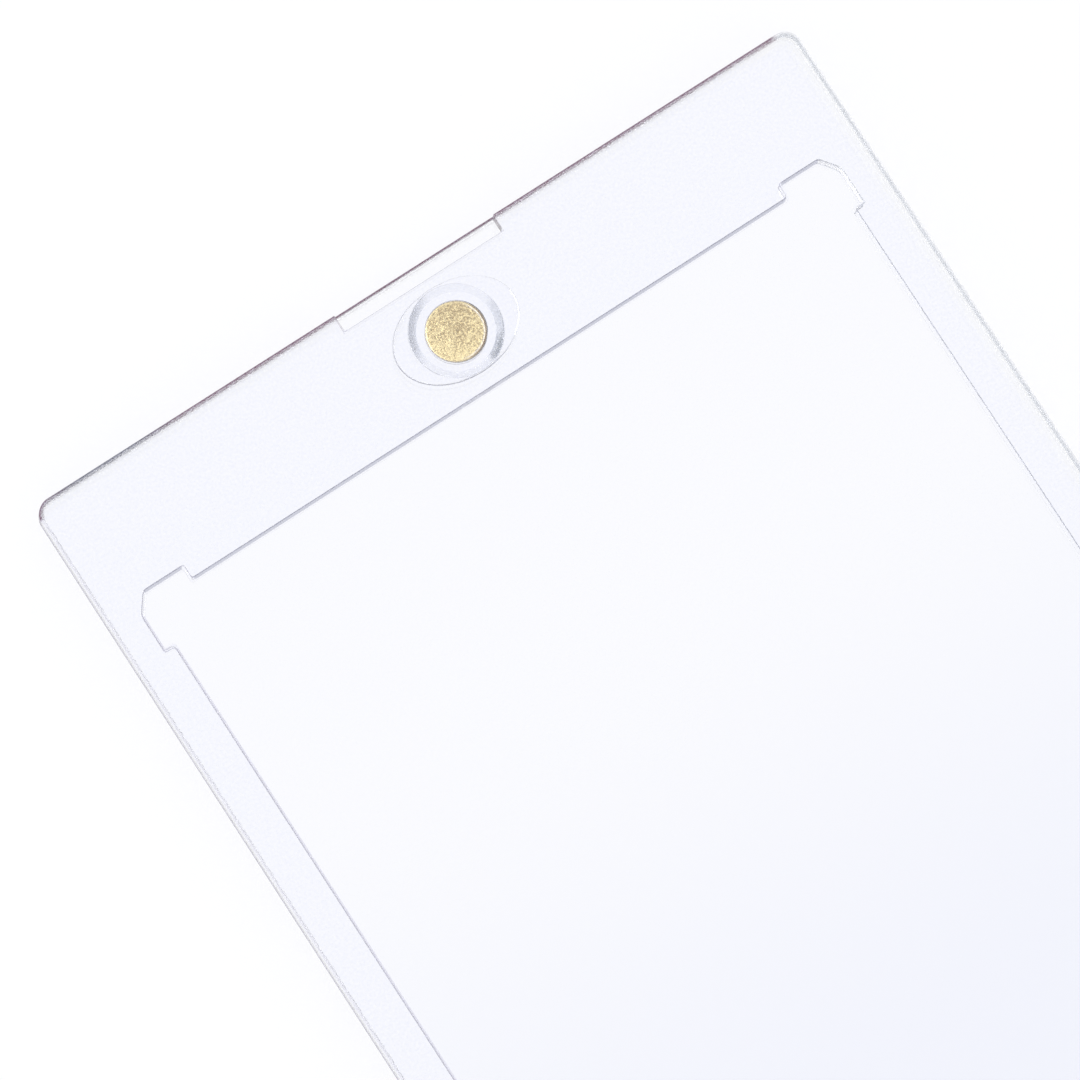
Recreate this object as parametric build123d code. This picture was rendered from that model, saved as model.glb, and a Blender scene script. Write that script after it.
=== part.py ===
"""Magnetic display case for one trading card: two clear moulded halves, hooked together at the bottom edge
and held shut by a pair of disc magnets at the top.

Millimetres. X runs across the case, +Y towards the magnets, +Z up through the thickness; the case lies on its
back with the origin under its middle. Each half is drawn in a frame of its own, with its parting face on z = 0
and its outer face above, and is then placed: the front half as it is, the rear half turned over in a mirror.
"""

from build123d import *
import os
from math import cos, radians, sin, tan

# The card, and the recess that holds it
card_width = 63.5
card_length = 88.9
card_thickness = 0.89
card_play = 0.55  # on every side of the card
card_headroom = 0.06
recess_draft = 10.0  # degrees that the wall of the recess leans in towards its floor
recess_mouth_bevel = 0.03

# The outline of the case, round the recess
side_border = 3.73
top_border = 11.5
bottom_border = 8.4
corner_radius = 1.6
wall_draft = 4.5  # degrees that each outer side wall leans in from the parting face
outer_edge_radius = 0.3
parting_edge_bevel = 0.1
parting_gap = 0.04  # air film between the two halves when shut

# Corner reliefs of the recess, which keep the corners of the card from touching the wall
relief_rise = 1.25  # beyond the end of the recess
relief_overhang = 0.9  # beyond the side of the recess
relief_reach_across = 4.1  # from the side of the recess inwards
relief_reach_along = 3.75  # from the end of the recess inwards
relief_bevel_across = 1.2
relief_bevel_along = 1.6
relief_corner_radius = 0.4

# Finger notch in the top edge of the front half
notch_width = 15.0
notch_depth = 1.72
notch_corner_radius = 0.35

# Magnets: the front one under an oval cap with a conical boss, the rear one sunk into the parting face
magnet_diameter = 5.0
magnet_thickness = 1.0
magnet_edge_radius = 0.15
magnet_inset = 6.4  # from the top edge of the case to the middle of the magnet
cap_width = 10.8
cap_height = 7.8
cap_thickness = 0.5
cap_edge_bevel = 0.08
boss_root_diameter = 7.6
boss_tip_diameter = 6.5
boss_length = 0.55
fit_gap = 0.03  # air film around a magnet or cap in its pocket
magnet_skin = 0.24  # plastic left between the front magnet's bore and the parting face
magnet_sink = 0.05  # that the rear magnet lies below the parting face

# Curled hooks of the front half and the slots for them in the rear half, about the bottom parting edge
hook_width = 10.0
hook_spacing = 40.0
hook_thickness = 0.9
hook_sweep = 80.0  # degrees from the parting face round to the tip
hook_clearance = 0.2
lip_radius = 0.8  # of the rounded lip that the hooks turn about

# Worked out from the sizes above
recess_width = card_width + 2 * card_play
recess_length = card_length + 2 * card_play
recess_depth = card_thickness + card_headroom
case_width = recess_width + 2 * side_border
case_length = recess_length + top_border + bottom_border
recess_middle_y = (bottom_border - top_border) / 2
half_thickness = magnet_skin + magnet_thickness + boss_length + cap_thickness + 3 * fit_gap
case_thickness = 2 * half_thickness + parting_gap
magnet_y = case_length / 2 - magnet_inset
cap_seat_z = half_thickness - cap_thickness
boss_tip_z = cap_seat_z - boss_length
magnet_top_z = boss_tip_z - fit_gap
hook_inner_radius = lip_radius + hook_clearance
hook_outer_radius = hook_inner_radius + hook_thickness
pivot_y = -case_length / 2
pivot_z = -parting_gap / 2

# How far a cutting tool or a root reaches past the face that it crosses
tool_overlap = 0.01
slot_sweep = 100.0  # degrees, so that a slot opens through the bottom wall
hook_root_sweep = 12.0  # degrees that a hook reaches up into its half


def place_front(piece):
    """The front half's frame in the case: its parting face looks down on the gap."""
    return Pos(0, 0, case_thickness - half_thickness) * piece


def place_rear(piece):
    """The rear half's frame in the case: turned over, with its outer face on the table."""
    return Pos(0, 0, half_thickness) * mirror(piece, about=Plane.XY)


def half_blank():
    """A plain half: the outline drawn up with draft, and its parting edge bevelled."""
    blank = extrude(
        RectangleRounded(case_width, case_length, corner_radius),
        amount=half_thickness,
        taper=wall_draft,
    )
    parting_edges = blank.faces().sort_by(Axis.Z)[0].outer_wire().edges()
    return chamfer(parting_edges, length=parting_edge_bevel)


def soften_outer_face(half):
    """Rounds the rim of the outer face."""
    rim = half.faces().sort_by(Axis.Z)[-1].outer_wire().edges()
    return fillet(rim, radius=outer_edge_radius)


def finger_notch():
    """The notch as a solid to cut away: its inner corners rounded, and flared where it meets the top edge."""
    slot = Pos(0, case_length / 2) * Rectangle(notch_width, 2 * notch_depth)
    slot = fillet(slot.vertices().group_by(Axis.Y)[0], radius=notch_corner_radius)
    corner_x = notch_width / 2 + notch_corner_radius
    corner_y = case_length / 2 - notch_corner_radius
    corner = Pos(corner_x, corner_y) * Circle(notch_corner_radius)
    flare = Pos(corner_x, corner_y) * Rectangle(
        2 * notch_corner_radius, 2 * notch_corner_radius, align=(Align.MAX, Align.MIN)
    )
    flare = flare - corner
    outline = slot + flare + mirror(flare, about=Plane.YZ)
    return Pos(0, 0, -tool_overlap) * extrude(outline, amount=half_thickness + 2 * tool_overlap)


def corner_relief():
    """The relief at the top right corner of the recess, in the frame of the recess's middle."""
    side = recess_width / 2
    end = recess_length / 2
    return make_face(
        Polyline(
            (side - relief_reach_across, end - relief_reach_along),
            (side - relief_reach_across, end + relief_rise),
            (side + relief_overhang - relief_bevel_across, end + relief_rise),
            (side + relief_overhang, end + relief_rise - relief_bevel_along),
            (side + relief_overhang, end - relief_reach_along),
            close=True,
        )
    )


def card_recess():
    """The recess as a solid to cut away: its outline with four reliefs, narrowing to the floor."""
    right = corner_relief()
    top = right + mirror(right, about=Plane.YZ)
    outline = Rectangle(recess_width, recess_length) + top + mirror(top, about=Plane.XZ)
    mouth = fillet(outline.vertices(), radius=relief_corner_radius)
    lean = (recess_depth - recess_mouth_bevel) * tan(radians(recess_draft))

    def level(depth, growth):
        return (Pos(0, 0, depth) * offset(mouth, amount=growth, kind=Kind.ARC)).face()

    wall_top = (Pos(0, 0, recess_mouth_bevel) * mouth).face()
    bevel = loft([level(0, recess_mouth_bevel), wall_top], ruled=True)
    well = loft([wall_top, level(recess_depth, -lean)], ruled=True)
    return Pos(0, recess_middle_y, 0) * (bevel + well)


def stepped_plug(gap):
    """The room of a cap and its magnet, grown by a gap: oval plate, conical boss and disc, outer face up."""
    plate = extrude(Ellipse(cap_width / 2 + gap, cap_height / 2 + gap), amount=cap_thickness + gap)
    boss = Cone(boss_tip_diameter / 2 + gap, boss_root_diameter / 2 + gap, boss_length)
    disc = Cylinder(magnet_diameter / 2 + gap, magnet_thickness + gap)
    return (
        Pos(0, magnet_y, cap_seat_z - gap) * plate,
        Pos(0, magnet_y, boss_tip_z - gap + boss_length / 2) * boss,
        Pos(0, magnet_y, magnet_top_z - (magnet_thickness + gap) / 2) * disc,
    )


def cap_pocket():
    """The front half's pocket for its cap and magnet, open at the outer face."""
    plate, boss, disc = stepped_plug(fit_gap)
    mouth = Pos(0, magnet_y, half_thickness) * extrude(
        Ellipse(cap_width / 2 + fit_gap, cap_height / 2 + fit_gap), amount=tool_overlap
    )
    return plate + mouth + boss + disc


def magnet_cap():
    """Clear oval cap, flush with the outer face; its boss presses the magnet home."""
    plate, boss, _ = stepped_plug(0)
    rim = plate.faces().sort_by(Axis.Z)[-1].outer_wire().edges()
    return chamfer(rim, length=cap_edge_bevel) + boss


def magnet(disc):
    """Disc magnet with rounded edges."""
    return fillet(disc.edges().filter_by(GeomType.CIRCLE), radius=magnet_edge_radius)


def front_magnet():
    """The magnet in its bore under the cap."""
    return magnet(stepped_plug(0)[2])


def rear_magnet():
    """The magnet cemented into its bore, just below the parting face."""
    return magnet(
        Pos(0, magnet_y, magnet_sink + magnet_thickness / 2)
        * Cylinder(magnet_diameter / 2, magnet_thickness)
    )


def rear_magnet_bore():
    """The blind bore for the rear magnet, open at the parting face."""
    depth = magnet_sink + magnet_thickness + fit_gap
    return Pos(0, magnet_y, (depth - tool_overlap) / 2) * Cylinder(
        magnet_diameter / 2 + fit_gap, depth + tool_overlap
    )


def ring_sector(inner_radius, outer_radius, start, end, width):
    """A slice of a tube about the bottom parting edge, from one angle to another, that wide along the edge."""

    def on_circle(radius, angle):
        return (radius * cos(radians(angle)), radius * sin(radians(angle)))

    outline = [
        CenterArc((0, 0), outer_radius, start, end - start),
        Line(on_circle(outer_radius, end), on_circle(inner_radius, end)),
        CenterArc((0, 0), inner_radius, start, end - start),
        Line(on_circle(inner_radius, start), on_circle(outer_radius, start)),
    ]
    profile = Plane.YZ * make_face(outline)
    return Pos(0, pivot_y, pivot_z) * extrude(profile, amount=width / 2, both=True)


def in_pairs(piece):
    """One copy each side of the middle, at the spacing of the hooks."""
    return Pos(-hook_spacing / 2, 0, 0) * piece + Pos(hook_spacing / 2, 0, 0) * piece


def hooks():
    """The curled hooks, from their roots in the front half round to their tips."""
    return in_pairs(
        ring_sector(hook_inner_radius, hook_outer_radius, -hook_sweep, hook_root_sweep, hook_width)
    )


def hook_slots():
    """The slots that the hooks turn in, open at the parting face and through the bottom wall."""
    return in_pairs(
        ring_sector(
            lip_radius,
            hook_outer_radius + hook_clearance,
            -hook_root_sweep,
            slot_sweep,
            hook_width + 2 * hook_clearance,
        )
    )


def front_cover():
    """Clear lid with the finger notch, the hooks and the pocket for its magnet."""
    return soften_outer_face(half_blank()) - finger_notch() + hooks() - cap_pocket()


def rear_cover():
    """Clear tray with the card recess, the slots for the hooks and the bore for its magnet."""
    return soften_outer_face(half_blank()) - card_recess() - hook_slots() - rear_magnet_bore()


pieces = {
    "front_cover": place_front(front_cover()),
    "front_magnet_cap": place_front(magnet_cap()),
    "front_magnet": place_front(front_magnet()),
    "rear_cover": place_rear(rear_cover()),
    "rear_magnet": place_rear(rear_magnet()),
}

os.makedirs("parts", exist_ok=True)
for name, piece in pieces.items():
    export_step(piece, f"parts/{name}.step")
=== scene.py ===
"""Looks of a clear two-part display case for one trading card.

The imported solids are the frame. The clear covers and the cap keep their solids
and get finishes of clear plastic; the plated magnets are modelled here, with
finely etched faces, and stand for their solids.
"""

import math

import bpy
import numpy as np
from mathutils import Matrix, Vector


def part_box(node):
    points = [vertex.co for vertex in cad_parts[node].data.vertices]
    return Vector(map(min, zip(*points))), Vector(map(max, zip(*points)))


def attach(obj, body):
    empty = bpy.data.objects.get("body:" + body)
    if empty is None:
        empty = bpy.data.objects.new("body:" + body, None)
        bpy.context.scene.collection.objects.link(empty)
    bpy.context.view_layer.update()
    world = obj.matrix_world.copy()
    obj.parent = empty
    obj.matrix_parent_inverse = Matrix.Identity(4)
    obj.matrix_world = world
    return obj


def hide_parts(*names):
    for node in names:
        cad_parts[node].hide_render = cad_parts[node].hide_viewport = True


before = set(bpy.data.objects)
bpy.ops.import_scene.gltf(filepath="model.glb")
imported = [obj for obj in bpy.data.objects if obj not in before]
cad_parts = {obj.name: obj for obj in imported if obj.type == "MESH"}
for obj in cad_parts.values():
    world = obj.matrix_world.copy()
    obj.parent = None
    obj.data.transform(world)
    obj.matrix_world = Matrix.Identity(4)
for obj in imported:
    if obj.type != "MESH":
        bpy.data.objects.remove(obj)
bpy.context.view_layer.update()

MM = 0.001
PER_METRE = 1000.0  # millimetres

# The outline of the case, in millimetres
CASE_WIDTH = 72.06
CASE_LENGTH = 109.9
CORNER_RADIUS = 1.6
PARTING_Z = 2.40

# The recess and its corner reliefs, from the middle of the recess
RECESS_MIDDLE = -1.55
RECESS_HALF_WIDTH = 32.3
RECESS_HALF_LENGTH = 45.0
RELIEF_SIDE = 33.2
RELIEF_END = 46.25
RELIEF_INNER_SIDE = 28.2
RELIEF_INNER_END = 41.25
RELIEF_BEVEL_SIDE = 32.0
RELIEF_BEVEL_WAY = (0.8, 0.6)  # across and along
RECESS_CORNER_REACH = 0.4

# The finger notch
NOTCH_HALF_WIDTH = 7.5
NOTCH_FLOOR = 53.23

# The oval cap and the magnets
MAGNET_Y = 48.55
OVAL_HALF_WIDTH = 5.415
OVAL_HALF_HEIGHT = 3.915
MAGNET_ROUNDING = 0.15
MAGNET_RINGS = 56
MAGNET_SEGMENTS = 320
ROUNDING_POINTS = 7
INNERMOST_RING = 0.03

# ---------------------------------------------------------------- colours
WHITE = (1.0, 1.0, 1.0)
CLEAR_TINT = (1.0, 1.0, 1.0)
MOTTLED_TINT = (0.955, 0.962, 0.998)
LAVENDER_TINT = (0.955, 0.962, 0.990)
SEEN_THROUGH = (0.985, 0.988, 1.0)
SHADOW_TINT = (0.93, 0.935, 0.96)
# Painted light and shade of the ground walls: grey shade and a mauve painted
# reflection on the magnet side, near white painted light on the left and right; the
# right-side white also paints the light band inside the right rim
RIM_SHADE_GREY = (0.80, 0.81, 0.84)
RIM_MAUVE_REFLECTION = (0.78, 0.71, 0.77)
RIM_LEFT_LIT = (0.98, 0.98, 0.99)
RIM_RIGHT_LIT = (1.0, 1.0, 1.0)
# Tones of the matt veil, all painted shade: grey, a lighter grey on the right as
# painted light, and darkest on the magnet side, where the mauve is a painted
# reflection
VEIL_SHADE = (0.40, 0.38, 0.45)
VEIL_DEEP_SHADE = (0.11, 0.11, 0.12)
VEIL_GREY_SHADE = (0.27, 0.27, 0.30)
VEIL_RIGHT_LIT = (0.58, 0.60, 0.57)
MAUVE_DEEP_SHADE = (0.16, 0.075, 0.095)
MAUVE_GREY_SHADE = (0.29, 0.22, 0.26)
# Painted shade on the boss ring
RING_SHADE = (0.42, 0.44, 0.45)
# Painted light and painted shade on the edge of the oval plate
OVAL_LIT = (0.90, 0.91, 0.95)
OVAL_SHADED = (0.25, 0.25, 0.30)
# Gold: pale, brown in the pits and in painted shade, a painted highlight, a lighter
# matt edge as painted light, and a dark rim of painted shade
GOLD_PALE = (1.0, 0.84, 0.42)
GOLD_BROWN = (0.43, 0.32, 0.15)
GOLD_HIGHLIGHT = (1.0, 0.94, 0.74)
GOLD_LIT_EDGE = (0.66, 0.61, 0.52)
GOLD_RIM_SHADE = (0.20, 0.12, 0.08)
FLOOR_WHITE = (0.96, 0.96, 0.96)
SKY_ROUND = (1.0, 1.0, 1.0)
SKY_FAR = (0.44, 0.45, 0.52)
SKY_NEAR = (0.20, 0.17, 0.21)
SKY_LEFT = (0.60, 0.57, 0.68)
SKY_ABOVE = (0.80, 0.82, 1.0)

# ------------------------------------------------------------------ noises
# Features per metre, octaves and roughness
GRAIN = (9000.0, 3.0, 0.65)
STREAKS = (2200.0, 2.0, 0.5)
MOTTLE = (4200.0, 2.0, 0.6)
SPECKS = (8500.0, 1.0, 0.7)
SPARKLE = (13000.0, 1.0, 0.6)

# ------------------------------------------------------------------- masks
# A pair is where a mask starts and where it is full, or where it starts to
# fade and where it is gone. Four numbers are a pair to rise and a pair to
# fade. They are millimetres, except for tones and shares, which have no unit.

# Regions of the case
OUTER_HALF = (1.2, 2.0)  # from the parting face
MAGNET_SIDE_Y = (53.3, 53.7)
MAGNET_SIDE_END = (33.8, 34.6)
RIGHT_SIDE = (30.0, 34.0)
# Where the mauve painted reflection on the magnet side's rim begins and is full
RIM_MAUVE_REACH = (-26.0, -4.0)
RIM_HALVES = (-2.0, 2.0)
SPECK_TONES = (0.38, 0.62)

# Tint of the plastic
GROUND_REACH = (0.32, 0.52)
GROUND_SEAM = (0.04, 0.10)  # from the parting face
GROUND_SHARES = (0.24, 0.36, 0.22)  # of the seam, the grain and the streaks
GROUND_LOWER_CUT = 0.6
INSIDE_RECESS = (-0.3, -0.1)
BURIED_Z = (2.5, 2.6, 4.3, 4.5)
MOTTLE_TONES = (0.30, 0.70)
MOTTLE_RECESS_CUT = 0.75
LAVENDER_REACH = (-24.0, 26.0)
LAVENDER_SHARES = (0.35, 0.65)  # everywhere, and in the recess on top
RIGHT_HIGHLIGHT_REACH = (0.7, 1.0)
# A gap in the mauve painted reflection of the veil, round this place on the magnet
# side
MAUVE_GAP_X = 29.0
MAUVE_GAP = (2.0, 8.0)

# Surface of the plastic
CLEAR_IOR = 1.49
GRAIN_HEIGHT = 0.04 * MM
POLISHED_ROUGHNESS = 0.05
GROUND_ROUGHNESS = 0.22
RIGHT_ROUGHNESS = 1.2
RING_ROUGHNESS = 0.35

# Dull rim, by depth in from the outline
CUT_SHARES = (0.30, 0.12)  # of the grain and of the streaks
FINE_CUT = 0.5
SEAM_HEIGHT = (0.12, 0.18)  # from the parting face
SEAM_REACH = (0.12, 0.22)
EDGE_REACH = (0.28, 0.45)
EDGE_DULL = 0.92
FEATHER_REACH = (0.44, 0.64)
FEATHER_DULL = 0.5
LINE_REACH = (0.06, 0.11)
LINE_DULL = 0.45
CREST_REACH = (0.22, 0.30, 0.36, 0.42)
CREST_DULL = (0.20, 0.08)  # and how much less on the right
FROST_REACH = (0.54, 0.68)
FROST_DULL = (0.60, 0.34)  # and how much less under specks
FROST_SHARES = (0.6, 0.6)  # everywhere, and past its outer part on top
FROST_OUTER = (0.28, 0.46)

# Lower rim, which mostly can't be made out
UNSEEN_RIM_REACH = (0.50, 0.60)
UNSEEN_MAGNET_SIDE = 0.8
UNSEEN_RIGHT_SIDE = 0.95

# Recess, by distance out from its mouth
RECESS_RIGHT = (28.0, 31.0)
RECESS_RIGHT_END = (41.2, 41.6)
MOUTH_LINE = (-0.06, -0.02, 0.01, 0.04)
MOUTH_DULL = 0.60
RIGHT_MOUTH_LINE = (-0.02, 0.0, 0.05, 0.09)
RIGHT_MOUTH_DULL = 0.90
FOOT_LINE = (-0.23, -0.20, -0.18, -0.15)
FOOT_DULL = 0.12
RECESS_WALL = (-0.17, -0.15, -0.03, -0.01)
RECESS_WALL_UNSEEN = 0.85

# Finger notch
NOTCH_LINE = (0.02, 0.05)
OUTER_FACE_Z = (4.72, 4.78)
NOTCH_FLOOR_DULL = (0.06, 0.44)  # everywhere, and at the outer face on top
NOTCH_SIDE_DULL = 0.2
NOTCH_FLOOR_UNSEEN = 0.92

# Boss ring, darkened by lobes of painted shade: each is a direction and a half width
# in degrees, and a share
RING_RADII = (3.16, 3.22, 3.84, 3.90)
RING_Z = (3.66, 3.70, 4.27, 4.29)
RING_SHADE_LOBES = (
    (145.0, 54.0, 0.32),
    (-27.0, 50.0, 0.26),
    (-54.0, 22.0, 0.42),
    (-108.0, 55.0, 0.04),
)
RING_HAZE = 0.04
RING_RIPPLE = 0.12
RING_SHARES = (0.6, 0.4)  # everywhere, and towards the root on top
RING_ROOT = (3.22, 3.66)
RING_UNSEEN = 0.96

# Edge of the oval plate
OVAL_LINE = (0.03, 0.07)
OVAL_Z = (4.2, 4.3)
OVAL_SHADE = (-0.6, 0.6)
OVAL_SHADE_WAY = (-1.0, 0.5)  # across, and down
OVAL_HIDDEN = (0.2, 0.8)
OVAL_HIDDEN_WAY = (0.6, 0.8)  # across, and up
OVAL_DULL = 0.26
OVAL_UNSEEN = 0.8

# Etching and plating of the magnets
LATTICE_CELLS = 64
COARSE_CELL = 0.75
FINE_CELL = 0.12
# The middle and side shares darken the pits as painted shade, the side one a quarter
# turn from the light
ETCH_SHARES = (0.8, 0.25, 0.30, 0.20)  # fine, coarse, middle and side
PIT_DEPTH = 0.010
LIT_SIDE = math.radians(-32.5)
FLAT_FACE = (1.6, 1.0)  # roundings in from the wall
EDGE_BAND = (0.6, 0.2)  # roundings in from the wall
LINE_BAND = (1.4, 1.1)  # roundings in from the wall
# The polish band is a painted highlight on the side towards the light, where the
# gold is also smoother
HIGHLIGHT_BAND = (0.85, 0.92)  # of the radius
HIGHLIGHT_FACING = (0.1, 0.7)
HIGHLIGHT_SHARES = (0.75, 0.25)  # everywhere, and with the fine etching
# The rim is a dark line of painted shade, strongest on the side towards the light
RIM_SHADE_FACING = (0.3, 0.8)
RIM_SHADE_SHARES = (0.15, 0.60)  # everywhere, and on the lit side on top
PIT_MIDDLE = 0.45
PIT_SHARE = 0.30
GOLD_TONES = (0.26, 0.74)
GOLD_ROUGHNESS = (0.38, 0.12)  # and how much less where it is polished
SPARKLE_HEIGHT = 0.012 * MM

# ------------------------------------------------------------ surroundings
FLOOR_HALF_SIZE = 3.0
FLOOR_LEVEL = -0.25 * MM
FLOOR_GLOW = 0.8
SKY_SIDE = (0.80, 0.97)
SKY_RISE = (0.0, 0.6)
SKY_FALL = (0.15, 0.8)
LAMP_SIZE = (0.5, 0.35)
LAMP_POWER = 2.0
LAMP_PLACE = (-0.35, 0.25, 0.6)
LAMP_TURN = (-20.0, -30.0, 0.0)
LIGHT_BOUNCES = 32

# --------------------------------------------------------------- viewpoint
CAMERA_PLACE = (-0.041039, -0.004821, 0.476426)
CAMERA_TURN = (6.09494, -1.45980, -32.97910)
CAMERA_NEAR = 0.01
FOCAL_PIXELS = 6000.0
FRAME_PIXELS = 1080.0
SENSOR_WIDTH = 36.0


class Field:
    """A shader socket that takes part in Python arithmetic.

    Every operator adds one Math node to the tree the socket belongs to.
    """

    def __init__(self, tree, socket):
        self.tree = tree
        self.socket = socket

    def maths(self, operation, *operands):
        """Adds one Math node over the operands, numbers or other fields."""
        node = self.tree.nodes.new("ShaderNodeMath")
        node.operation = operation
        for slot, operand in zip(node.inputs, operands):
            plug(self.tree, operand, slot)
        return Field(self.tree, node.outputs[0])

    def __add__(self, other):
        return self.maths("ADD", self, other)

    def __radd__(self, other):
        return self.maths("ADD", other, self)

    def __sub__(self, other):
        return self.maths("SUBTRACT", self, other)

    def __rsub__(self, other):
        return self.maths("SUBTRACT", other, self)

    def __mul__(self, other):
        return self.maths("MULTIPLY", self, other)

    def __rmul__(self, other):
        return self.maths("MULTIPLY", other, self)

    def __truediv__(self, other):
        return self.maths("DIVIDE", self, other)

    def __pow__(self, other):
        return self.maths("POWER", self, other)

    def __gt__(self, other):
        return self.maths("GREATER_THAN", self, other)

    def __lt__(self, other):
        return self.maths("LESS_THAN", self, other)

    def __abs__(self):
        return self.maths("ABSOLUTE", self)

    def highest(self, other):
        return self.maths("MAXIMUM", self, other)

    def lowest(self, other):
        return self.maths("MINIMUM", self, other)

    def rounded_highest(self, other, reach):
        return self.maths("SMOOTH_MAX", self, other, reach)

    def rounded_lowest(self, other, reach):
        return self.maths("SMOOTH_MIN", self, other, reach)


def plug(tree, value, slot):
    """Sets a socket to a number or colour, or links a field to it."""
    if isinstance(value, Field):
        tree.links.new(value.socket, slot)
    elif isinstance(value, tuple) and len(value) == 3 and slot.type == "RGBA":
        slot.default_value = (*value, 1.0)
    else:
        slot.default_value = value


class Finish:
    """A node tree of a finish or of the surroundings, with helpers for its nodes."""

    def __init__(self, owner):
        owner.use_nodes = True
        self.owner = owner
        self.tree = owner.node_tree
        self.tree.nodes.clear()

    def node(self, kind, settings=None, inputs=None, output=0):
        """Adds a node: its settings first, then the values of its sockets."""
        node = self.tree.nodes.new("ShaderNode" + kind)
        for key, value in (settings or {}).items():
            setattr(node, key, value)
        for key, value in (inputs or {}).items():
            plug(self.tree, value, node.inputs[key])
        return Field(self.tree, node.outputs[output])

    def place(self):
        """Object coordinates, in metres in the shared frame."""
        return self.node("TexCoord", output="Object")

    def axes(self, vector):
        """The three components of a vector."""
        split = self.node("SeparateXYZ", inputs={0: vector})
        outputs = split.socket.node.outputs
        return [Field(self.tree, outputs[i]) for i in range(3)]

    def carried(self, name):
        """An attribute that the mesh carries."""
        return self.node("Attribute", {"attribute_name": name}, output="Fac")

    def ease(self, value, low, high):
        """0 below low, 1 above high, a smooth step between."""
        return self.node(
            "MapRange",
            {"interpolation_type": "SMOOTHSTEP"},
            {0: value, 1: low, 2: high},
        )

    def fade(self, value, low, high):
        """1 below low, 0 above high, a smooth step between."""
        return 1.0 - self.ease(value, low, high)

    def band(self, value, low, full, fading, gone):
        """0 below low, 1 from full to fading, 0 above gone."""
        return self.ease(value, low, full) * self.fade(value, fading, gone)

    def noise(self, vector, scale, detail, roughness):
        """Soft noise of the given number of features per metre."""
        return self.node(
            "TexNoise",
            None,
            {
                "Vector": vector,
                "Scale": scale,
                "Detail": detail,
                "Roughness": roughness,
            },
        )

    def blend(self, factor, first, second):
        """The first colour where the factor is 0, the second where it is 1."""
        return self.node(
            "Mix",
            {"data_type": "RGBA"},
            {0: factor, 6: first, 7: second},
            output=2,
        )

    def bump(self, height, distance):
        """A bumped normal from a height of 0 to 1 over a distance in metres."""
        return self.node("Bump", None, {"Height": height, "Distance": distance})

    def mix(self, factor, first, second):
        """The first shader where the factor is 0, the second where it is 1."""
        return self.node("MixShader", None, {0: factor, 1: first, 2: second})

    def end(self, kind, shader):
        """Ends the tree with its output and hands its owner back."""
        output = self.tree.nodes.new("ShaderNodeOutput" + kind)
        self.tree.links.new(shader.socket, output.inputs["Surface"])
        return self.owner


def new_finish(name):
    return Finish(bpy.data.materials.new(name))


def depth_from_outline(x, y):
    """Millimetres inward from the outline of the case, at any height.

    The distance to a rounded rectangle: the length of what lies beyond the
    corner centres on both axes, plus the nearer side where neither does,
    less the corner radius, turned negative.
    """
    across = abs(x) - (CASE_WIDTH / 2 - CORNER_RADIUS)
    along = abs(y) - (CASE_LENGTH / 2 - CORNER_RADIUS)
    corner = (across.highest(0.0) ** 2.0 + along.highest(0.0) ** 2.0) ** 0.5
    side = across.highest(along).lowest(0.0)
    return CORNER_RADIUS - corner - side


def depth_from_recess(x, y):
    """Millimetres outward from the mouth of the recess, negative inside it.

    The lesser of two distances: to the rectangle of the recess, and to the
    reliefs at its corners, each the greatest of its distances to the lines
    that bound it. The greatest and the least pass smoothly into each other
    over the reach of the corner radius.
    """
    reach = RECESS_CORNER_REACH
    bevel_across, bevel_along = RELIEF_BEVEL_WAY
    across = abs(x)
    along = abs(y - RECESS_MIDDLE)
    main = (across - RECESS_HALF_WIDTH).highest(along - RECESS_HALF_LENGTH)
    bevel = (across - RELIEF_BEVEL_SIDE) * bevel_across
    bevel = bevel + (along - RELIEF_END) * bevel_along
    ear = (across - RELIEF_SIDE).rounded_highest(bevel, reach)
    ear = ear.rounded_highest(along - RELIEF_END, reach)
    ear = ear.rounded_highest(RELIEF_INNER_SIDE - across, reach)
    ear = ear.rounded_highest(RELIEF_INNER_END - along, reach)
    return main.rounded_lowest(ear, reach)


class Spot:
    """A point of the clear plastic: its place in millimetres, and the
    distances, regions and noises that the masks share."""

    def __init__(self, finish):
        place = finish.place()
        self.x, self.y, self.z = [axis * PER_METRE for axis in finish.axes(place)]
        self.grain = finish.noise(place, *GRAIN)
        self.streaks = finish.noise(place, *STREAKS)
        self.mottle = finish.noise(place, *MOTTLE)
        self.specks = finish.ease(finish.noise(place, *SPECKS), *SPECK_TONES)
        self.depth = depth_from_outline(self.x, self.y)
        self.beyond = depth_from_recess(self.x, self.y)
        self.from_parting = abs(self.z - PARTING_Z)
        self.upper = finish.ease(self.z - PARTING_Z, *OUTER_HALF)
        self.lower = finish.ease(PARTING_Z - self.z, *OUTER_HALF)
        self.right = finish.ease(self.x, *RIGHT_SIDE)
        self.magnets = finish.ease(self.y, *MAGNET_SIDE_Y)
        self.magnets = self.magnets * finish.fade(self.x, *MAGNET_SIDE_END)


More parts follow.
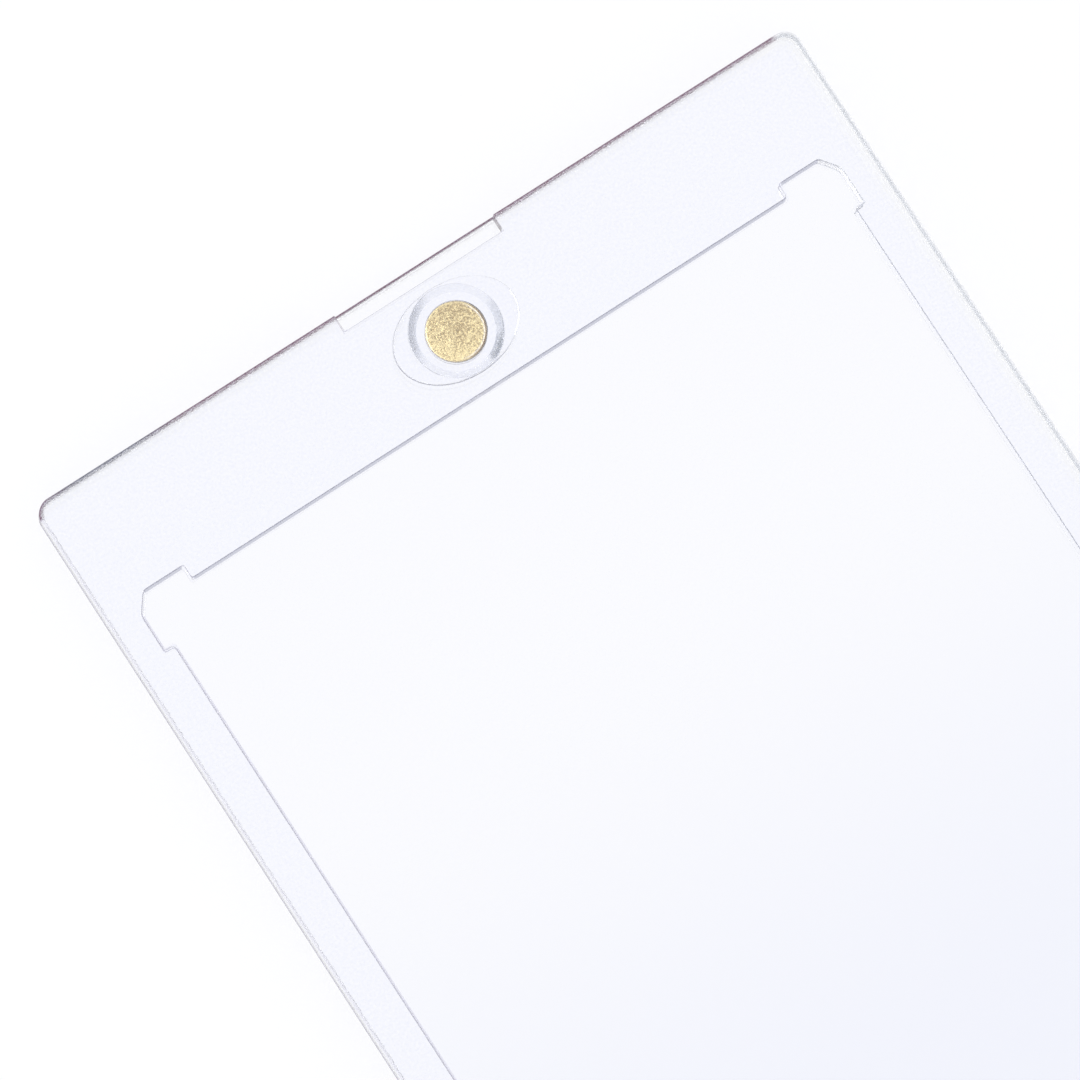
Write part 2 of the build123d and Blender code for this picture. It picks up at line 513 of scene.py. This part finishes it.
def boss_ring(finish, spot):
    """Where the conical boss meets its pocket, and how much of the veil's painted
    shade lies on its skin there.

    The painted shade is a sum of lobes round the axis of the magnet, each rising
    with the cosine of the angle from its own direction, and it grows towards
    the root of the boss.
    """
    along = spot.y - MAGNET_Y
    radius = (spot.x * spot.x + along * along) ** 0.5
    ring = finish.band(radius, *RING_RADII) * finish.band(spot.z, *RING_Z)
    ripple = (spot.streaks - 0.5) * RING_RIPPLE
    dull = RING_HAZE * spot.streaks
    for angle, half_width, share in RING_SHADE_LOBES:
        turn = math.radians(angle)
        facing = (spot.x * math.cos(turn) + along * math.sin(turn)) / radius
        start = math.cos(math.radians(half_width))
        dull = dull + finish.ease(facing + ripple, start, 1.0) * share
    tip, root = RING_SHARES
    return ring, ring * dull * (tip + root * finish.ease(radius, *RING_ROOT))


def oval_edge(finish, spot):
    """The edge line of the oval plate, and where it takes painted shade or is
    hidden.

    The line lies where the length of the place over the two half axes is 1.
    It takes painted shade to the left and below, painted light elsewhere, and
    is hidden above and to the right.
    """
    across = spot.x / OVAL_HALF_WIDTH
    up = (spot.y - MAGNET_Y) / OVAL_HALF_HEIGHT
    beyond = ((across * across + up * up) ** 0.5 - 1.0) * OVAL_HALF_HEIGHT
    line = finish.fade(abs(beyond), *OVAL_LINE) * finish.ease(spot.z, *OVAL_Z)
    shade = OVAL_SHADE_WAY[0] * across - OVAL_SHADE_WAY[1] * up
    away = across * OVAL_HIDDEN_WAY[0] + up * OVAL_HIDDEN_WAY[1]
    return line, finish.ease(shade, *OVAL_SHADE), finish.ease(away, *OVAL_HIDDEN)


def ground_wall(finish, spot):
    """1 on the ground side walls, with a ragged end on the polished faces."""
    seam, grain, streaks = GROUND_SHARES
    ragged = spot.depth + finish.fade(spot.from_parting, *GROUND_SEAM) * seam
    ragged = ragged - (spot.grain - 0.5) * grain - (spot.streaks - 0.5) * streaks
    return finish.fade(ragged, *GROUND_REACH)


def rim_shading_tint(finish, spot):
    """Painted shade and light of the ground walls: grey shade on the magnet side
    with a mauve painted reflection towards its right, and near white painted
    light on the left and right sides.
    """
    reach = finish.ease(spot.x, *RIM_MAUVE_REACH)
    magnet_side_shade = finish.blend(reach, RIM_SHADE_GREY, RIM_MAUVE_REFLECTION)
    sides = finish.blend(finish.ease(spot.x, *RIM_HALVES), RIM_LEFT_LIT, RIM_RIGHT_LIT)
    return finish.blend(spot.magnets, sides, magnet_side_shade)


def plastic_tint(finish, spot, ground):
    """Mottled faces, lavender away from the magnets, a painted light band inside
    the right rim, and painted light and shade on the ground rim.
    """
    inside = finish.fade(spot.beyond, *INSIDE_RECESS)
    mottle = finish.ease(spot.mottle, *MOTTLE_TONES)
    mottle = mottle * (1.0 - inside * MOTTLE_RECESS_CUT)
    mottle = mottle * (1.0 - finish.band(spot.z, *BURIED_Z))
    tint = finish.blend(mottle, CLEAR_TINT, MOTTLED_TINT)
    everywhere, recess = LAVENDER_SHARES
    lavender = finish.ease(-1.0 * spot.y, *LAVENDER_REACH)
    lavender = lavender * (everywhere + recess * inside)
    tint = finish.blend(lavender, tint, LAVENDER_TINT)
    # A band of painted light inside the right rim
    right_rim_highlight = spot.right * finish.fade(spot.depth, *RIGHT_HIGHLIGHT_REACH)
    tint = finish.blend(right_rim_highlight, tint, RIM_RIGHT_LIT)
    rim = ground * (1.0 - GROUND_LOWER_CUT * spot.lower)
    return finish.blend(rim, tint, rim_shading_tint(finish, spot))


def veil_shade_tint(finish, spot, ring, oval, shaded):
    """Painted shade of the matt veil: grey, lighter as painted light on the right,
    darkest with a mauve painted reflection on the magnet side, grey on the boss,
    and painted light and shade on the oval's edge.
    """
    mauve_reflection = finish.ease(abs(spot.x + MAUVE_GAP_X), *MAUVE_GAP)
    deep_shade = finish.blend(mauve_reflection, VEIL_DEEP_SHADE, MAUVE_DEEP_SHADE)
    grey_shade = finish.blend(mauve_reflection, VEIL_GREY_SHADE, MAUVE_GREY_SHADE)
    tint = finish.blend(spot.right, VEIL_SHADE, VEIL_RIGHT_LIT)
    tint = finish.blend(spot.magnets, tint, finish.blend(spot.specks, deep_shade, grey_shade))
    tint = finish.blend(ring, tint, RING_SHADE)
    edge = finish.blend(shaded, OVAL_LIT, OVAL_SHADED)
    return finish.blend(oval, tint, edge)


def dull_rim(finish, spot):
    """How dull the rim is, which is where the veil's painted shade lies: the
    feathered rounding and the seam on the magnet side, a frost on the right
    side, a sharp line on every side but the right, and a crest on every side
    but the magnets'."""
    grain, streaks = CUT_SHARES
    cut = (spot.grain - 0.5) * grain + (spot.streaks - 0.5) * streaks
    rough, fine = spot.depth + cut, spot.depth + cut * FINE_CUT
    seam = finish.fade(spot.from_parting, *SEAM_HEIGHT)
    seam = spot.magnets * seam * finish.fade(fine, *SEAM_REACH)
    edge = spot.magnets * finish.fade(rough, *EDGE_REACH) * spot.upper
    feather = (1.0 - spot.specks) * finish.fade(rough, *FEATHER_REACH) * spot.upper
    line = finish.fade(spot.depth, *LINE_REACH) * (1.0 - spot.right)
    crest = finish.band(rough, *CREST_REACH) * (1.0 - spot.magnets)
    crest = crest * (CREST_DULL[0] - spot.right * CREST_DULL[1])
    frost = finish.fade(fine, *FROST_REACH) * spot.upper
    frost = frost * (FROST_DULL[0] - FROST_DULL[1] * spot.specks)
    outer = FROST_SHARES[1] * finish.ease(spot.depth, *FROST_OUTER)
    frost = spot.right * frost * (FROST_SHARES[0] + outer)
    dull = edge.highest(seam) * EDGE_DULL
    dull = dull.highest(spot.magnets * feather * FEATHER_DULL)
    return dull.highest(line * LINE_DULL).highest(crest).highest(frost)


def unseen_rim(finish, spot):
    """Where the lower rim can't be made out: on the magnet and right sides."""
    sides = (spot.magnets * UNSEEN_MAGNET_SIDE).highest(
        spot.right * UNSEEN_RIGHT_SIDE
    )
    return spot.lower * finish.fade(spot.depth, *UNSEEN_RIM_REACH) * sides


def recess_lines(finish, spot):
    """How dull the mouth and the foot of the recess's wall are, as lines of the
    veil's painted shade, and where the wall between them can't be made out."""
    right = finish.ease(spot.x, *RECESS_RIGHT)
    right = right * finish.fade(abs(spot.y - RECESS_MIDDLE), *RECESS_RIGHT_END)
    mouth = finish.band(spot.beyond, *MOUTH_LINE) * (1.0 - right) * MOUTH_DULL
    sharp = finish.band(spot.beyond, *RIGHT_MOUTH_LINE) * right
    mouth = mouth + sharp * RIGHT_MOUTH_DULL
    foot = finish.band(spot.beyond, *FOOT_LINE) * (1.0 - right) * FOOT_DULL
    wall = finish.band(spot.beyond, *RECESS_WALL) * right
    return mouth.highest(foot), wall * RECESS_WALL_UNSEEN


def notch_lines(finish, spot):
    """How dull the walls of the finger notch are, as lines of the veil's painted
    shade, and where its long wall can't be made out."""
    across = abs(spot.x)
    floor = finish.fade(abs(spot.y - NOTCH_FLOOR), *NOTCH_LINE)
    floor = floor * (across < NOTCH_HALF_WIDTH)
    side = finish.fade(abs(across - NOTCH_HALF_WIDTH), *NOTCH_LINE)
    side = side * (spot.y > NOTCH_FLOOR)
    everywhere, face = NOTCH_FLOOR_DULL
    dull = floor * (everywhere + face * finish.ease(spot.z, *OUTER_FACE_Z))
    return dull.highest(side * NOTCH_SIDE_DULL), floor * NOTCH_FLOOR_UNSEEN


def clear_plastic(name, lines):
    """Cast clear plastic: polished faces, ground side walls and dull edges.

    Glass, mixed with plain see-through where an edge can't be made out, under
    a matt veil where an edge is dull, whose tones are painted shade and painted
    light. Light to the shadow passes it straight.
    """
    finish = new_finish(name)
    spot = Spot(finish)
    ground = ground_wall(finish, spot)
    ring, ring_painted_shade = boss_ring(finish, spot)
    oval, shaded, hidden = oval_edge(finish, spot)
    lines_dull, lines_unseen = lines(finish, spot)
    rough = spot.magnets.highest(spot.right * RIGHT_ROUGHNESS)
    rough = POLISHED_ROUGHNESS + GROUND_ROUGHNESS * rough
    glass = finish.node(
        "BsdfPrincipled",
        None,
        {
            "Base Color": plastic_tint(finish, spot, ground),
            "Roughness": (ground * rough).highest(ring * RING_ROUGHNESS),
            "IOR": CLEAR_IOR,
            "Transmission Weight": 1.0,
            "Normal": finish.bump(spot.grain * ground, GRAIN_HEIGHT),
        },
    )
    unseen = unseen_rim(finish, spot).highest(lines_unseen)
    unseen = unseen.highest(ring * RING_UNSEEN)
    unseen = unseen.highest(oval * hidden * OVAL_UNSEEN)
    dull = dull_rim(finish, spot).highest(lines_dull).highest(ring_painted_shade)
    dull = dull.highest(oval * OVAL_DULL * (1.0 - hidden))
    window = finish.node("BsdfTransparent", None, {"Color": SEEN_THROUGH})
    tint = veil_shade_tint(finish, spot, ring, oval, shaded)
    shade_veil = finish.node("BsdfDiffuse", None, {"Color": tint})
    body = finish.mix(dull, finish.mix(unseen, glass, window), shade_veil)
    shadow_ray = finish.node("LightPath", output="Is Shadow Ray")
    through = finish.node("BsdfTransparent", None, {"Color": SHADOW_TINT})
    return finish.end("Material", finish.mix(shadow_ray, body, through))


def gold_plating(name):
    """Etched gold plating, pale where it is high and brown in its pits and in
    painted shade.

    The mesh carries the depth of the pits with painted shade towards the middle
    and on one side, the polish with a painted highlight towards the light, the
    edge, which is made matt and lighter as painted light, and the dark rim
    inside it, painted shade strongest towards the light; a fine sparkle lies
    over them all.
    """
    finish = new_finish(name)
    pits_and_shade, polish_and_highlight, edge, rim = map(finish.carried, ("pits_and_shade", "polish_and_highlight", "edge", "rim"))
    sparkle = finish.noise(finish.place(), *SPARKLE)
    tone = finish.ease(sparkle + (pits_and_shade - PIT_MIDDLE) * PIT_SHARE, *GOLD_TONES)
    colour = finish.blend(tone * (1.0 - edge), GOLD_PALE, GOLD_BROWN)
    colour = finish.blend(polish_and_highlight, colour, GOLD_HIGHLIGHT)
    # The edge is made matt and lighter as painted light
    colour = finish.blend(edge, colour, GOLD_LIT_EDGE)
    colour = finish.blend(rim, colour, GOLD_RIM_SHADE)
    metal = finish.node(
        "BsdfPrincipled",
        None,
        {
            "Base Color": colour,
            "Metallic": 1.0 - edge,
            "Roughness": GOLD_ROUGHNESS[0] - polish_and_highlight * GOLD_ROUGHNESS[1],
            "Normal": finish.bump(1.0 - sparkle, SPARKLE_HEIGHT),
        },
    )
    return finish.end("Material", metal)


def dress(node, material):
    """Gives a carried-over solid its finish."""
    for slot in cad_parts[node].material_slots:
        slot.material = material


dress("front_cover", clear_plastic("clear_lid_plastic", notch_lines))
dress("front_magnet_cap", clear_plastic("clear_cap_plastic", notch_lines))
dress("rear_cover", clear_plastic("clear_tray_plastic", recess_lines))


def lattice_noise(x, y, cell, seed):
    """Smooth random heights from 0 to 1 over the plane, in cells of one size.

    Random values on a square lattice, blended between their four neighbours
    with the smooth step 3t^2 - 2t^3.
    """
    size = LATTICE_CELLS
    values = np.random.default_rng(seed).random((size, size))
    across, along = x / cell + size / 2, y / cell + size / 2
    column, row = np.floor(across).astype(int), np.floor(along).astype(int)
    s, t = across - column, along - row
    s, t = s * s * (3 - 2 * s), t * t * (3 - 2 * t)
    column, row = column % (size - 1), row % (size - 1)
    near = values[row, column] * (1 - s) + values[row, column + 1] * s
    far = values[row + 1, column] * (1 - s) + values[row + 1, column + 1] * s
    return near * (1 - t) + far * t


def smooth_step(value, low, high):
    t = np.clip((value - low) / (high - low), 0.0, 1.0)
    return t * t * (3 - 2 * t)


def disc_profile(radius, low, high):
    """Reach and level of a disc's outline, from the middle of the upper face.

    Out along the upper face in even steps, over a quarter circle to the wall,
    and the same back in below, turned over about the middle of the disc.
    """
    turns = np.linspace(0.0, np.pi / 2, ROUNDING_POINTS)[1:]
    flat = np.linspace(INNERMOST_RING, radius - MAGNET_ROUNDING, MAGNET_RINGS)
    out = radius - MAGNET_ROUNDING + MAGNET_ROUNDING * np.sin(turns)
    drop = MAGNET_ROUNDING * (1 - np.cos(turns))
    half = np.concatenate([flat, out])
    height = np.concatenate([np.full(len(flat), high), high - drop])
    reach = np.concatenate([half, half[::-1]])
    level = np.concatenate([height, low + high - height[::-1]])
    return reach, level


def etched_faces(r, a, radius, seed):
    """What the mesh carries: the pits with painted shade, the polish with a
    painted highlight, the edge, which the finish makes matt and lighter as
    painted light, and the rim of painted shade.

    The pits are a sum of two lattice noises, of the nearness to the middle and
    of the nearness to a side a quarter turn from the light, these two being
    painted shade. The others are bands by radius, the polish and the rim the
    stronger the more they face the light.
    """

    def wall(start, full):
        """0 that many roundings in from the wall, 1 at the second number."""
        low, high = radius - start * MAGNET_ROUNDING, radius - full * MAGNET_ROUNDING
        return smooth_step(r, low, high)

    x, y = r * np.cos(a), r * np.sin(a)
    coarse = lattice_noise(x, y, COARSE_CELL, seed)
    fine = lattice_noise(x, y, FINE_CELL, seed + 1)
    of_fine, of_coarse, of_middle, of_side = ETCH_SHARES
    tone = of_fine * fine + of_coarse * coarse + of_middle * (0.5 - r / radius)
    tone = tone + of_side * (r / radius) * np.sin(a - LIT_SIDE)
    pits_and_shade = smooth_step(tone, 0.0, 1.0) * (1.0 - wall(*FLAT_FACE))
    facing = np.cos(a - LIT_SIDE)
    edge, line = wall(*EDGE_BAND), wall(*LINE_BAND)
    band = smooth_step(r, HIGHLIGHT_BAND[0] * radius, HIGHLIGHT_BAND[1] * radius)
    polish_and_highlight = smooth_step(facing, *HIGHLIGHT_FACING) * band * (1 - line)
    polish_and_highlight = polish_and_highlight * (HIGHLIGHT_SHARES[0] + HIGHLIGHT_SHARES[1] * fine)
    rim = RIM_SHADE_SHARES[0] + RIM_SHADE_SHARES[1] * smooth_step(facing, *RIM_SHADE_FACING)
    rim = line * (1 - edge) * rim
    return {"pits_and_shade": pits_and_shade, "polish_and_highlight": polish_and_highlight, "edge": edge, "rim": rim}


def etched_magnet(name, body, node, seed):
    """Disc magnet with rounded edges and finely etched flat faces.

    The profile of the disc is carried round its axis and closed with a fan at
    each pole, and on both faces the height is lowered by the depth of the pits,
    painted shade included.
    """
    low, high = (np.array(corner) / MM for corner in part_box(node))
    middle = (low + high) / 2
    radius = (high[0] - low[0]) / 2
    reach, level = disc_profile(radius, low[2], high[2])
    angle = np.arange(MAGNET_SEGMENTS) * 2 * np.pi / MAGNET_SEGMENTS
    r, a = np.meshgrid(reach, angle, indexing="ij")
    carried = etched_faces(r, a, radius, seed)
    z = np.repeat(level[:, None], MAGNET_SEGMENTS, axis=1)
    z = z - PIT_DEPTH * carried["pits_and_shade"] * np.sign(z - middle[2])
    x, y = middle[0] + r * np.cos(a), middle[1] + r * np.sin(a)

    points = np.stack([x, y, z], axis=-1).reshape(-1, 3)
    poles = [[middle[0], middle[1], high[2]], [middle[0], middle[1], low[2]]]
    points = np.concatenate([points, poles]) * MM
    grid = np.arange(len(reach) * MAGNET_SEGMENTS).reshape(-1, MAGNET_SEGMENTS)
    turned = np.roll(grid, -1, axis=1)
    quads = np.stack([grid[:-1], grid[1:], turned[1:], turned[:-1]], axis=-1)
    quads = quads.reshape(-1, 4).tolist()
    top, base = len(points) - 2, len(points) - 1
    upper = np.stack([np.full(MAGNET_SEGMENTS, top), grid[0], turned[0]], axis=-1)
    lower = np.stack([np.full(MAGNET_SEGMENTS, base), turned[-1], grid[-1]], axis=-1)
    mesh = bpy.data.meshes.new(name)
    mesh.from_pydata(points.tolist(), [], quads + upper.tolist() + lower.tolist())
    for label, values in carried.items():
        layer = mesh.attributes.new(label, "FLOAT", "POINT")
        values = np.append(values.ravel(), [0.0, 0.0]).astype(np.float32)
        layer.data.foreach_set("value", values)
    mesh.polygons.foreach_set("use_smooth", np.ones(len(mesh.polygons), dtype=bool))
    mesh.materials.append(gold)
    magnet = bpy.data.objects.new(name, mesh)
    bpy.context.scene.collection.objects.link(magnet)
    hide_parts(node)
    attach(magnet, body)


gold = gold_plating("etched_gold_plating")
etched_magnet("front_magnet_plated", "lid", "front_magnet", 11)
etched_magnet("rear_magnet_plated", "tray", "rear_magnet", 23)


def floor_finish():
    """White floor that reads white behind the case and keeps its shadow."""
    finish = new_finish("pale_floor")
    seen = finish.node("LightPath", output="Is Camera Ray")
    for kind in ("Is Glossy Ray", "Is Transmission Ray"):
        seen = seen.highest(finish.node("LightPath", output=kind))
    matt = finish.node("BsdfDiffuse", None, {"Color": FLOOR_WHITE})
    glow = finish.node("Emission", None, {"Color": WHITE, "Strength": seen})
    return finish.end("Material", finish.mix(seen * FLOOR_GLOW, matt, glow))


def add_floor():
    size, level = FLOOR_HALF_SIZE, FLOOR_LEVEL
    mesh = bpy.data.meshes.new("floor")
    corners = [
        (-size, -size, level),
        (size, -size, level),
        (size, size, level),
        (-size, size, level),
    ]
    mesh.from_pydata(corners, [], [(0, 1, 2, 3)])
    mesh.materials.append(floor_finish())
    floor = bpy.data.objects.new("floor", mesh)
    bpy.context.scene.collection.objects.link(floor)
    floor.visible_transmission = False
    floor.visible_glossy = False


add_floor()


def add_world():
    """White studio, duller beyond the ends and the left of the case, bluer above."""
    finish = Finish(bpy.data.worlds.new("studio"))
    x, y, z = finish.axes(finish.node("TexCoord", output="Generated"))
    flat = (x * x + y * y) ** 0.5
    sky = finish.blend(finish.ease(y / flat, *SKY_SIDE), SKY_ROUND, SKY_FAR)
    sky = finish.blend(finish.ease(-1.0 * y / flat, *SKY_SIDE), sky, SKY_NEAR)
    sky = finish.blend(finish.ease(-1.0 * x / flat, *SKY_SIDE), sky, SKY_LEFT)
    sky = finish.blend(finish.ease(z, *SKY_RISE), sky, SKY_ABOVE)
    sky = finish.blend(finish.ease(-1.0 * z, *SKY_FALL), sky, WHITE)
    camera_ray = finish.node("LightPath", output="Is Camera Ray")
    colour = finish.blend(camera_ray, sky, WHITE)
    back = finish.node("Background", None, {"Color": colour, "Strength": 1.0})
    bpy.context.scene.world = finish.end("World", back)


add_world()


def add_lamp():
    data = bpy.data.lights.new("softbox", "AREA")
    data.shape = "RECTANGLE"
    data.size, data.size_y = LAMP_SIZE
    data.energy = LAMP_POWER
    lamp = bpy.data.objects.new("softbox", data)
    lamp.location = LAMP_PLACE
    lamp.rotation_euler = [math.radians(angle) for angle in LAMP_TURN]
    bpy.context.scene.collection.objects.link(lamp)


add_lamp()


def add_camera():
    data = bpy.data.cameras.new("camera")
    data.sensor_width = SENSOR_WIDTH
    data.lens = SENSOR_WIDTH * FOCAL_PIXELS / FRAME_PIXELS
    data.clip_start = CAMERA_NEAR
    camera = bpy.data.objects.new("camera", data)
    camera.location = CAMERA_PLACE
    camera.rotation_euler = [math.radians(angle) for angle in CAMERA_TURN]
    bpy.context.scene.collection.objects.link(camera)
    bpy.context.scene.camera = camera


add_camera()

scene = bpy.context.scene
scene.view_settings.view_transform = "Standard"
scene.cycles.max_bounces = LIGHT_BOUNCES
scene.cycles.transmission_bounces = LIGHT_BOUNCES
scene.cycles.transparent_max_bounces = LIGHT_BOUNCES
